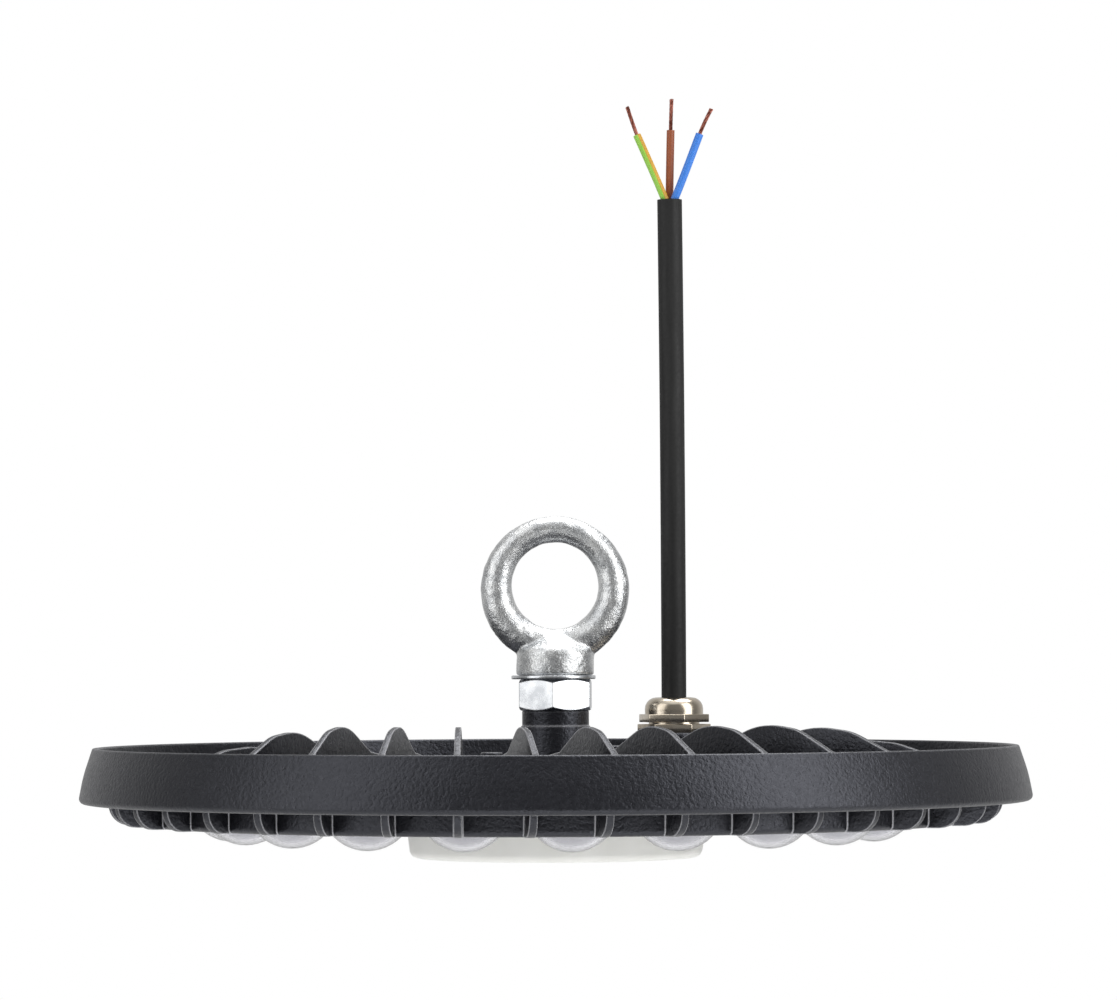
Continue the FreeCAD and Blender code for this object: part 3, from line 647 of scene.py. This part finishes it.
class HIGHBAY_OT_casting(bpy.types.Operator):
    """Die-cast heat sink with its ring, swirled fins, drum, boss and gland seat"""

    bl_idname = "highbay.casting"
    bl_label = "Casting"

    def execute(self, context):
        settings = context.scene.high_bay
        gland_x = middle("gland_o_ring", 0)
        boss_top = low("lock_nut")[2] / MM
        seat_top = high("gland_o_ring")[2] / MM
        foot = ROOF_Z + INTO_ROOF
        boss = lathe(scaled([
            (0, foot),
            (BOSS_ROOT, foot),
            (BOSS_UNDER_COLLAR, boss_top - COLLAR_LOW_DROP, 0.2),
            (BOSS_TOP, boss_top - COLLAR_HIGH_DROP, 0.2),
            (BOSS_TOP, boss_top, 0.4),
            (0, boss_top),
        ]), NARROW_STEPS)
        seat = lathe(scaled([
            (0, foot), (GLAND_SEAT, foot), (GLAND_SEAT, seat_top, 1.2), (0, seat_top),
        ]), NARROW_STEPS, gland_x)
        pad_top = DRUM_Z + PAD_RISE
        pad = lathe(scaled([
            (0, foot), (PAD_RADIUS, foot), (PAD_RADIUS, pad_top, 0.4), (0, pad_top),
        ]), PAD_STEPS, PAD_CIRCLE * MM)
        pads = copies_round(pad, PAD_COUNT, PAD_FIRST_ANGLE)
        fins = []
        for i in range(FIN_COUNT):
            angle = FIN_FIRST_ANGLE + i * 360 / FIN_COUNT
            fin = make_fin(hump_share(angle), settings.edge_round)
            fin.data.transform(Matrix.Rotation(math.radians(angle), 4, "Z"))
            fins.append(fin)
        piece = joined([make_ring(), make_body(), boss, seat] + pads + fins)
        dress(piece, powder_coat(settings.coat_color))
        settle(piece, "heat_sink_casting", "black_casting", "housing")
        return {"FINISHED"}


# ---------------------------------------------------------------- optics and inner pieces
def smooth_cad(name, *materials):
    """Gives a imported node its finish, with soft shading over its curved faces."""
    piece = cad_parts[name]
    dress(piece, *materials)
    for face in piece.data.polygons:
        face.use_smooth = True
        face.material_index = 0
    piece.modifiers.new("Weld", "WELD").merge_threshold = 0.002 * MM
    split = piece.modifiers.new("Split", "EDGE_SPLIT")
    split.split_angle = math.radians(CAD_SMOOTH_ANGLE)


class HIGHBAY_OT_optics(bpy.types.Operator):
    """Clear optic plate and milky centre cover"""

    bl_idname = "highbay.optics"
    bl_label = "Optics"

    def execute(self, context):
        settings = context.scene.high_bay
        smooth_cad("optic_plate", clear_polycarbonate())
        smooth_cad("centre_cover", milky_polycarbonate(settings.cover_color))
        return {"FINISHED"}


class HIGHBAY_OT_inside(bpy.types.Operator):
    """Finishes of the light source, the driver, the seals and the screws"""

    bl_idname = "highbay.inside"
    bl_label = "Inner pieces"

    def execute(self, context):
        steel = moulded("stainless_steel_screws", "#b9babc", "#a2a4a7", 0.28, 1.0, 1.0)
        rubber = moulded("silicone_rubber", "#2a2a2a", "#1c1c1c", 0.6)
        tape = moulded("polyester_tape", "#c9a23a", "#b8912c", 0.4)
        nylon = moulded("nylon", "#dcdad2", "#cfccc2", 0.45)
        finishes = {
            "plate_screws": steel,
            "led_board_screws": steel,
            "driver_screws": steel,
            "plate_gasket": rubber,
            "gland_o_ring": rubber,
            "gland_bush": rubber,
            "led_board": moulded("white_solder_mask", "#eeeeec", "#e4e4e2", 0.35, 6.0),
            "leds": moulded("led_phosphor", "#e6c34f", "#d9b23c", 0.5, 0.8),
            "led_leads": moulded("silicone_leads", "#b0302a", "#98231f", 0.45),
            "led_connector": nylon,
            "driver_board": moulded("green_solder_mask", "#1f6b3a", "#185a30", 0.35, 5.0),
            "insulating_sheet": moulded("polyester_film", "#e4e0cf", "#d8d3bf", 0.3, 8.0),
            "transformer_core": moulded("ground_ferrite", "#3a3b3d", "#2c2d2f", 0.5),
            "transformer_coil": tape,
            "capacitors": moulded("shrink_sleeve", "#1c1d24", "#15161b", 0.25, 5.0),
            "choke": moulded("enamelled_copper", "#a35a34", "#8a4727", 0.3, 1.0, 0.8),
            "driver_chips": moulded("moulded_epoxy", "#222222", "#1a1a1a", 0.45),
            "terminal_block": nylon,
            "inner_leads": moulded("lead_insulation", "#9a5a3c", "#86492e", 0.4),
        }
        for name, made in finishes.items():
            smooth_cad(name, made)
        return {"FINISHED"}


# ---------------------------------------------------------------- eye bolt, washer and nut
EYE_HOLE = 13.6
EYE_OUTER = 23.5
EYE_OFFSET = 1.5               # hole's centre above the centre of the ring's outer circle
TORUS_RADIUS = 18.0            # of the primitive, before its vertices are moved
EYE_COLLAR = 12.3
EYE_COLLAR_HEIGHT = 8.0
EYE_NECK = 5.5
EYE_NECK_HEIGHT = 12.6
SHANK = 7.0
SHANK_STEPS = 64
FORGING_VOXEL = 0.42
FORGING_WAVES = ((5.0, 1.0), (1.8, 0.45))      # size in millimetres, share of the depth
WASHER_HOLE = 7.7
WASHER = 13.3
WASHER_STEPS = 128


def make_eye_ring():
    """Forged ring, thicker at its foot because its hole sits off centre."""
    hole_z = high("eye_bolt")[2] / MM - EYE_OUTER + EYE_OFFSET
    start_mesh()
    bpy.ops.mesh.primitive_torus_add(major_segments=128, minor_segments=40,
                                     major_radius=TORUS_RADIUS * MM, minor_radius=1.0 * MM)
    piece = bpy.context.object
    for vertex in piece.data.vertices:
        angle = math.atan2(vertex.co.y, vertex.co.x)
        across = math.hypot(vertex.co.x, vertex.co.y) / MM - TORUS_RADIUS
        outer = (math.sqrt(EYE_OUTER ** 2 - (EYE_OFFSET * math.cos(angle)) ** 2)
                 - EYE_OFFSET * math.sin(angle))
        section = (outer - EYE_HOLE) / 2
        reach = (outer + EYE_HOLE) / 2 + across * section
        vertex.co = Vector((reach * math.cos(angle), vertex.co.z / MM * section,
                            hole_z + reach * math.sin(angle))) * MM
    return piece


class HIGHBAY_OT_eye_bolt(bpy.types.Operator):
    """Forged eye bolt with its collar and shank, lumpy under its zinc plate"""

    bl_idname = "highbay.eye_bolt"
    bl_label = "Eye bolt"

    def execute(self, context):
        settings = context.scene.high_bay
        seat = high("plain_washer")[2] / MM
        collar = lathe(scaled([
            (0, seat),
            (EYE_COLLAR, seat, 0.7),
            (EYE_COLLAR, seat + EYE_COLLAR_HEIGHT, 2.4),
            (EYE_NECK, seat + EYE_NECK_HEIGHT),
            (0, seat + EYE_NECK_HEIGHT),
        ]), NARROW_STEPS)
        piece = joined([make_eye_ring(), collar])
        apply_modifier(piece, "REMESH", mode="VOXEL", voxel_size=FORGING_VOXEL * MM)
        apply_modifier(piece, "SMOOTH", factor=0.5, iterations=6)
        for size, share in FORGING_WAVES:
            clouds = bpy.data.textures.new(f"forging_{size:.0f}", "CLOUDS")
            clouds.noise_scale = size * MM
            clouds.noise_depth = 1
            apply_modifier(piece, "DISPLACE", texture=clouds, texture_coords="LOCAL",
                           strength=settings.forging_depth * share, mid_level=0.6)
        foot = low("eye_bolt")[2] / MM
        shank = lathe(scaled([
            (0, foot), (SHANK, foot, 0.8), (SHANK, seat + 1), (0, seat + 1),
        ]), SHANK_STEPS)
        piece = joined([piece, shank])
        dress(piece, forged_zinc(settings.zinc_color))
        settle(piece, "forged_eye_bolt", "forged_zinc", "eye_bolt")
        return {"FINISHED"}


class HIGHBAY_OT_fixings(bpy.types.Operator):
    """Plain washer and lock nut under the eye bolt"""

    bl_idname = "highbay.fixings"
    bl_label = "Washer and nut"

    def execute(self, context):
        zinc = bright_zinc()
        base = low("plain_washer")[2] / MM
        top = high("plain_washer")[2] / MM
        piece = lathe(scaled([
            (WASHER_HOLE, base, 0.1),
            (WASHER, base, 0.35),
            (WASHER, top, 0.35),
            (WASHER_HOLE, top, 0.1),
        ]), WASHER_STEPS, middle("plain_washer", 0))
        dress(piece, zinc)
        settle(piece, "zinc_washer", "bright_zinc", "plain_washer")
        smooth_cad("lock_nut", zinc)
        return {"FINISHED"}


# ---------------------------------------------------------------- gland
GLAND_BORE = 4.7
GLAND_NECK = 8.0
GLAND_NECK_FOOT_Z = 30.0
GLAND_DOME = 9.2
GLAND_DOME_ROUND = 3.6
GLAND_CAP_INSIDE = 8.6
HEXAGON_HEIGHT = 2.5
HEXAGON_EDGE = 0.22
CAP_ACROSS = 19.7              # across flats
BODY_ACROSS = 20.1
CAP_TURN = -75.0               # degrees, direction of one corner
BODY_TURN = -62.5


def hexagon(across, low_z, high_z, corner_angle, x):
    """Six-sided band with softened edges."""
    start_mesh()
    bpy.ops.mesh.primitive_cylinder_add(vertices=6, radius=across / math.sqrt(3) * MM,
                                        depth=(high_z - low_z) * MM)
    piece = bpy.context.object
    bpy.ops.object.mode_set(mode="EDIT")
    bpy.ops.mesh.select_all(action="SELECT")
    bpy.ops.mesh.bevel(offset=HEXAGON_EDGE * MM, segments=3, affect="EDGES")
    bpy.ops.object.mode_set(mode="OBJECT")
    corner = max(piece.data.vertices, key=lambda vertex: vertex.co.to_2d().length)
    start = round(math.degrees(math.atan2(corner.co.y, corner.co.x)) / 30) * 30
    piece.data.transform(Matrix.Translation((x, 0, (low_z + high_z) / 2 * MM))
                         @ Matrix.Rotation(math.radians(corner_angle - start), 4, "Z"))
    return piece


class HIGHBAY_OT_gland(bpy.types.Operator):
    """Nickel-plated gland body and cap, each with a hexagon for a spanner"""

    bl_idname = "highbay.gland"
    bl_label = "Cable gland"

    def execute(self, context):
        nickel = nickel_plate()
        x = middle("gland_o_ring", 0)
        foot = high("gland_o_ring")[2] / MM
        top = high("gland_cap")[2] / MM
        band_low = low("gland_cap")[2] / MM
        band_high = band_low + HEXAGON_HEIGHT
        cap = lathe(scaled([
            (GLAND_BORE, band_high - 1),
            (GLAND_CAP_INSIDE, band_high - 1),
            (GLAND_DOME, band_high, 0.1),
            (GLAND_DOME, top, GLAND_DOME_ROUND),
            (GLAND_BORE, top, 0.3),
        ]), NARROW_STEPS, x)
        piece = joined([hexagon(CAP_ACROSS, band_low, band_high, CAP_TURN, x), cap])
        dress(piece, nickel)
        settle(piece, "nickel_gland_cap", "nickel_plate", "gland_cap")
        neck = lathe(scaled([
            (GLAND_BORE, GLAND_NECK_FOOT_Z),
            (GLAND_NECK, GLAND_NECK_FOOT_Z),
            (GLAND_NECK, band_low + 1),
            (GLAND_BORE, band_low + 1),
        ]), NARROW_STEPS, x)
        piece = joined([hexagon(BODY_ACROSS, foot, foot + HEXAGON_HEIGHT, BODY_TURN, x), neck])
        dress(piece, nickel)
        settle(piece, "nickel_gland_body", "nickel_plate", "gland_body")
        return {"FINISHED"}


# ---------------------------------------------------------------- cable
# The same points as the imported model's, in millimetres.
GLAND_X = 37.4
JACKET_ROUTE = [
    (GLAND_X, 27.0), (GLAND_X, 70.0), (37.34, 116.0), (37.16, 162.0), (36.8, 207.7),
]
JACKET_RADIUS = 3.925
CORE_RADIUS = 1.25
# Each core's own route from the jacket's end, then its bare tail's from the core's end.
CORES = {
    "earth": ([(-1.52, -0.88, 0.0), (-3.7, -1.2, 5.6), (-10.3, -1.5, 20.5)],
              [(0.0, 0.0, 0.0), (-1.9, -0.1, 5.2), (-3.1, -0.1, 9.2)]),
    "live": ([(0.0, 1.75, 0.0), (0.1, 2.1, 6.5), (0.5, 1.9, 22.3)],
             [(0.0, 0.0, 0.0), (0.15, 0.0, 5.2), (0.35, 0.0, 10.2)]),
    "neutral": ([(1.52, -0.88, 0.0), (3.9, -1.2, 5.6), (9.6, -1.5, 20.7)],
                [(0.0, 0.0, 0.0), (1.6, -0.1, 4.0), (3.9, -0.1, 8.2)]),
}
STRANDS = 7                    # round one more in the middle
STRAND_SEED = 7
STRAND_STEPS = 16
STRAND_TWISTS = 1.1
STRAND_LAY = 0.42              # outer strands' distance from the middle one
STRAND_LEAST_REACH = 0.93      # shortest strand, as a share of the tail
PARTING_START = 0.8            # share of the tail where the strands begin to part


def nurbs(name, points, radius):
    """Smooth round cord with the route's points as its control points."""
    data = bpy.data.curves.new(name, "CURVE")
    data.dimensions = "3D"
    spline = data.splines.new("NURBS")
    spline.points.add(len(points) - 1)
    for knot, point in zip(spline.points, points):
        knot.co = (*point, 1.0)
    spline.order_u = 3
    spline.use_endpoint_u = True
    spline.resolution_u = 12
    data.bevel_depth = radius
    data.bevel_resolution = 8
    data.use_fill_caps = True
    piece = bpy.data.objects.new(name, data)
    bpy.context.collection.objects.link(piece)
    return piece


def line_of(points):
    """Points along the smooth line of a route."""
    guide = nurbs("guide", points, 0.0)
    bpy.context.view_layer.update()
    mesh = bpy.data.meshes.new_from_object(guide)
    line = [vertex.co.copy() for vertex in mesh.vertices]
    bpy.data.objects.remove(guide)
    return line


def as_mesh(piece):
    """Turns a curve into a mesh."""
    start_mesh()
    select(piece)
    bpy.ops.object.convert(target="MESH")
    return bpy.context.object


def core_route(name):
    """A core's route from the jacket's end, in metres."""
    end = Vector((JACKET_ROUTE[-1][0], 0, JACKET_ROUTE[-1][1]))
    return [(end + Vector(step)) * MM for step in CORES[name][0]]


def tail_route(name):
    """A bare tail's route from its core's end, in metres."""
    start = core_route(name)[-1]
    return [start + Vector(step) * MM for step in CORES[name][1]]


def make_core(name, made, stripe=None):
    """Insulated core. A stripe covers the side that faces +X."""
    piece = as_mesh(nurbs(f"{name}_insulation", core_route(name), CORE_RADIUS * MM))
    dress(piece, made)
    if stripe:
        piece.data.materials.append(stripe)
        for face in piece.data.polygons:
            if face.normal.x > 0.25 and abs(face.normal.z) < 0.9:
                face.material_index = 1
    return settle(piece, f"{name}_insulation", f"{name}_insulation", f"{name}_core")


def make_strands(name, radius, made):
    """Twisted copper strands that part a little at their cut ends."""
    line = line_of(tail_route(name))
    along = (line[-1] - line[0]).normalized()
    side = along.cross(Vector((0, 1, 0))).normalized()
    across = along.cross(side)
    parts = []
    for strand in range(STRANDS + 1):
        lay = 0.0 if strand == STRANDS else STRAND_LAY * MM
        reach = random.uniform(STRAND_LEAST_REACH, 1.0)
        points = []
        for step in range(STRAND_STEPS + 1):
            share = reach * step / STRAND_STEPS
            place = share * (len(line) - 1)
            before = int(min(place, len(line) - 2))
            centre = line[before].lerp(line[before + 1], place - before)
            angle = 2 * math.pi * (strand / STRANDS + STRAND_TWISTS * share)
            part_by = 1 + random.uniform(0.3, 1.0) * max(0.0, share - PARTING_START)
            outward = side * math.cos(angle) + across * math.sin(angle)
            points.append(centre + outward * lay * part_by)
        part = nurbs("strand", points, radius)
        part.data.bevel_resolution = 2
        part.data.splines[0].resolution_u = 2
        parts.append(as_mesh(part))
    piece = joined(parts)
    dress(piece, made)
    return settle(piece, f"{name}_strands", "bare_copper", f"{name}_conductor")


class HIGHBAY_OT_cable(bpy.types.Operator):
    """Rubber supply cable with its three cores and bare copper tails"""

    bl_idname = "highbay.cable"
    bl_label = "Cable"

    def execute(self, context):
        settings = context.scene.high_bay
        random.seed(STRAND_SEED)
        bare = copper()
        green = core_plastic("green_insulation", "#a6df5c", "#9bd550", 0.32)
        yellow = core_plastic("yellow_stripe", "#d9a733", "#c99628", 0.32)
        brown = core_plastic("brown_insulation", "#a8603f", "#9c5535", 0.34)
        blue = core_plastic("blue_insulation", "#4a8fee", "#4285e6", 0.34)
        on_cord = [
            make_core("earth", green, yellow),
            make_core("live", brown),
            make_core("neutral", blue),
        ]
        for name in CORES:
            on_cord.append(make_strands(name, settings.strand_radius, bare))
        points = [Vector((x, 0, z)) * MM for x, z in JACKET_ROUTE]
        jacket = nurbs("supply_cable", points, JACKET_RADIUS * MM)
        rubber = extruded("rubber_jacket", settings.jacket_color, linear("#1d1d1d"),
                          0.55, 1.8, 0.05)
        dress(jacket, rubber)
        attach(jacket, "root")
        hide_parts("cable_jacket")
        return {"FINISHED"}


# ---------------------------------------------------------------- stage
LENS = 153.7                   # millimetres on the sensor's width
SENSOR_WIDTH = 36.0
CAMERA_X = 0.001
CAMERA_Z = 0.0619
CAMERA_TILT = 1.93             # degrees upwards
CAMERA_ROLL = 0.24
FLOOR_Z = -0.75
LIGHTS_AIM = (0, 0, 0.05)
# Name, azimuth from the camera's side and positive to the right, elevation, distance, size, power.
SOFTBOXES = (
    ("left_softbox", -56, 19, 1.9, (1.15, 2.2), 11.5),
    ("right_softbox", 58, 21, 1.9, (1.1, 2.2), 22),
    ("low_fill", 6, -34, 1.5, (1.4, 0.8), 5.0),
    ("top_softbox", 150, 72, 1.8, (1.6, 1.2), 26),
)


def area_light(name, azimuth, elevation, distance, size, power):
    """Softbox aimed at the lamp, placed by angles in degrees."""
    data = bpy.data.lights.new(name, "AREA")
    data.shape = "RECTANGLE"
    data.size, data.size_y = size
    data.energy = power
    lamp = bpy.data.objects.new(name, data)
    turn = math.radians(azimuth - 90)
    rise = math.radians(elevation)
    outward = Vector((
        math.cos(turn) * math.cos(rise), math.sin(turn) * math.cos(rise), math.sin(rise),
    ))
    lamp.location = Vector(LIGHTS_AIM) + outward * distance
    lamp.rotation_euler = outward.to_track_quat("Z", "Y").to_euler()
    bpy.context.collection.objects.link(lamp)


def ramp(tree, value, first, last, low_end, high_end):
    """Smooth step of a value between two ends."""
    return add_node(tree, "ShaderNodeMapRange", {"interpolation_type": "SMOOTHSTEP"}, {
        "Value": value, "From Min": first, "From Max": last, "To Min": low_end, "To Max": high_end,
    }).outputs["Result"]


def studio_world():
    """Pale behind the lamp, white above it, darker on the camera's side, white to the camera."""
    world = bpy.data.worlds.new("studio")
    bpy.context.scene.world = world
    world.use_nodes = True
    tree = world.node_tree
    tree.nodes.clear()
    coords = add_node(tree, "ShaderNodeTexCoord")
    parts = add_node(tree, "ShaderNodeSeparateXYZ", inputs={"Vector": coords.outputs["Generated"]})
    behind = ramp(tree, parts.outputs["Y"], 0.0, 0.95, 0.22, 0.6)
    above = ramp(tree, parts.outputs["Z"], 0.55, 0.95, 0.0, 0.95)
    level = add_node(tree, "ShaderNodeMath", {"operation": "MAXIMUM"}, {0: behind, 1: above})
    path = add_node(tree, "ShaderNodeLightPath")
    seen = add_node(tree, "ShaderNodeMath", {"operation": "MAXIMUM"}, {
        0: path.outputs["Is Camera Ray"], 1: path.outputs["Is Transmission Ray"],
    })
    strength = add_node(tree, "ShaderNodeMix", {"data_type": "FLOAT"}, {
        "Factor": seen.outputs["Value"], 2: level.outputs["Value"], 3: 1.0,
    })
    background = add_node(tree, "ShaderNodeBackground", inputs={
        "Color": (1, 1, 1, 1), "Strength": strength.outputs[0],
    })
    add_node(tree, "ShaderNodeOutputWorld", inputs={"Surface": background.outputs["Background"]})


class HIGHBAY_OT_stage(bpy.types.Operator):
    """Camera, plain floor well below the hanging lamp, and soft lights"""

    bl_idname = "highbay.stage"
    bl_label = "Stage"

    def execute(self, context):
        settings = context.scene.high_bay
        data = bpy.data.cameras.new("camera")
        data.lens = LENS
        data.sensor_width = SENSOR_WIDTH
        data.clip_start = 0.01
        data.clip_end = 100
        camera = bpy.data.objects.new("camera", data)
        camera.location = (CAMERA_X, -settings.camera_distance, CAMERA_Z)
        camera.rotation_euler = (math.radians(90 + CAMERA_TILT), math.radians(CAMERA_ROLL), 0)
        context.collection.objects.link(camera)
        context.scene.camera = camera
        start_mesh()
        bpy.ops.mesh.primitive_plane_add(size=12, location=(0, 0, FLOOR_Z))
        floor = context.object
        floor.name = "floor"
        dress(floor, moulded("pale_floor", "#f4f4f3", "#f0f0ef", 0.7, 400.0))
        studio_world()
        for softbox in SOFTBOXES:
            area_light(*softbox)
        context.scene.view_settings.view_transform = "Standard"
        return {"FINISHED"}


class HIGHBAY_PT_panel(bpy.types.Panel):
    """Pieces and settings of the high bay light"""

    bl_label = "High Bay Light"
    bl_idname = "HIGHBAY_PT_panel"
    bl_space_type = "VIEW_3D"
    bl_region_type = "UI"
    bl_category = "High Bay"

    def draw(self, context):
        for name in HighBaySettings.__annotations__:
            self.layout.prop(context.scene.high_bay, name)
        for operator in OPERATORS:
            self.layout.operator(operator.bl_idname)


OPERATORS = (
    HIGHBAY_OT_stage,
    HIGHBAY_OT_cable,
    HIGHBAY_OT_casting,
    HIGHBAY_OT_optics,
    HIGHBAY_OT_inside,
    HIGHBAY_OT_eye_bolt,
    HIGHBAY_OT_fixings,
    HIGHBAY_OT_gland,
)
CLASSES = (HighBaySettings, *OPERATORS, HIGHBAY_PT_panel)


def register():
    """Adds the classes and the settings."""
    for cls in CLASSES:
        bpy.utils.register_class(cls)
    bpy.types.Scene.high_bay = bpy.props.PointerProperty(type=HighBaySettings)


def unregister():
    """Takes them away again."""
    del bpy.types.Scene.high_bay
    for cls in reversed(CLASSES):
        bpy.utils.unregister_class(cls)


def main():
    """Builds and finishes every piece."""
    register()
    bpy.ops.highbay.stage()
    bpy.ops.highbay.cable()
    bpy.ops.highbay.casting()
    bpy.ops.highbay.optics()
    bpy.ops.highbay.inside()
    bpy.ops.highbay.eye_bolt()
    bpy.ops.highbay.fixings()
    bpy.ops.highbay.gland()


if __name__ == "__main__":
    main()
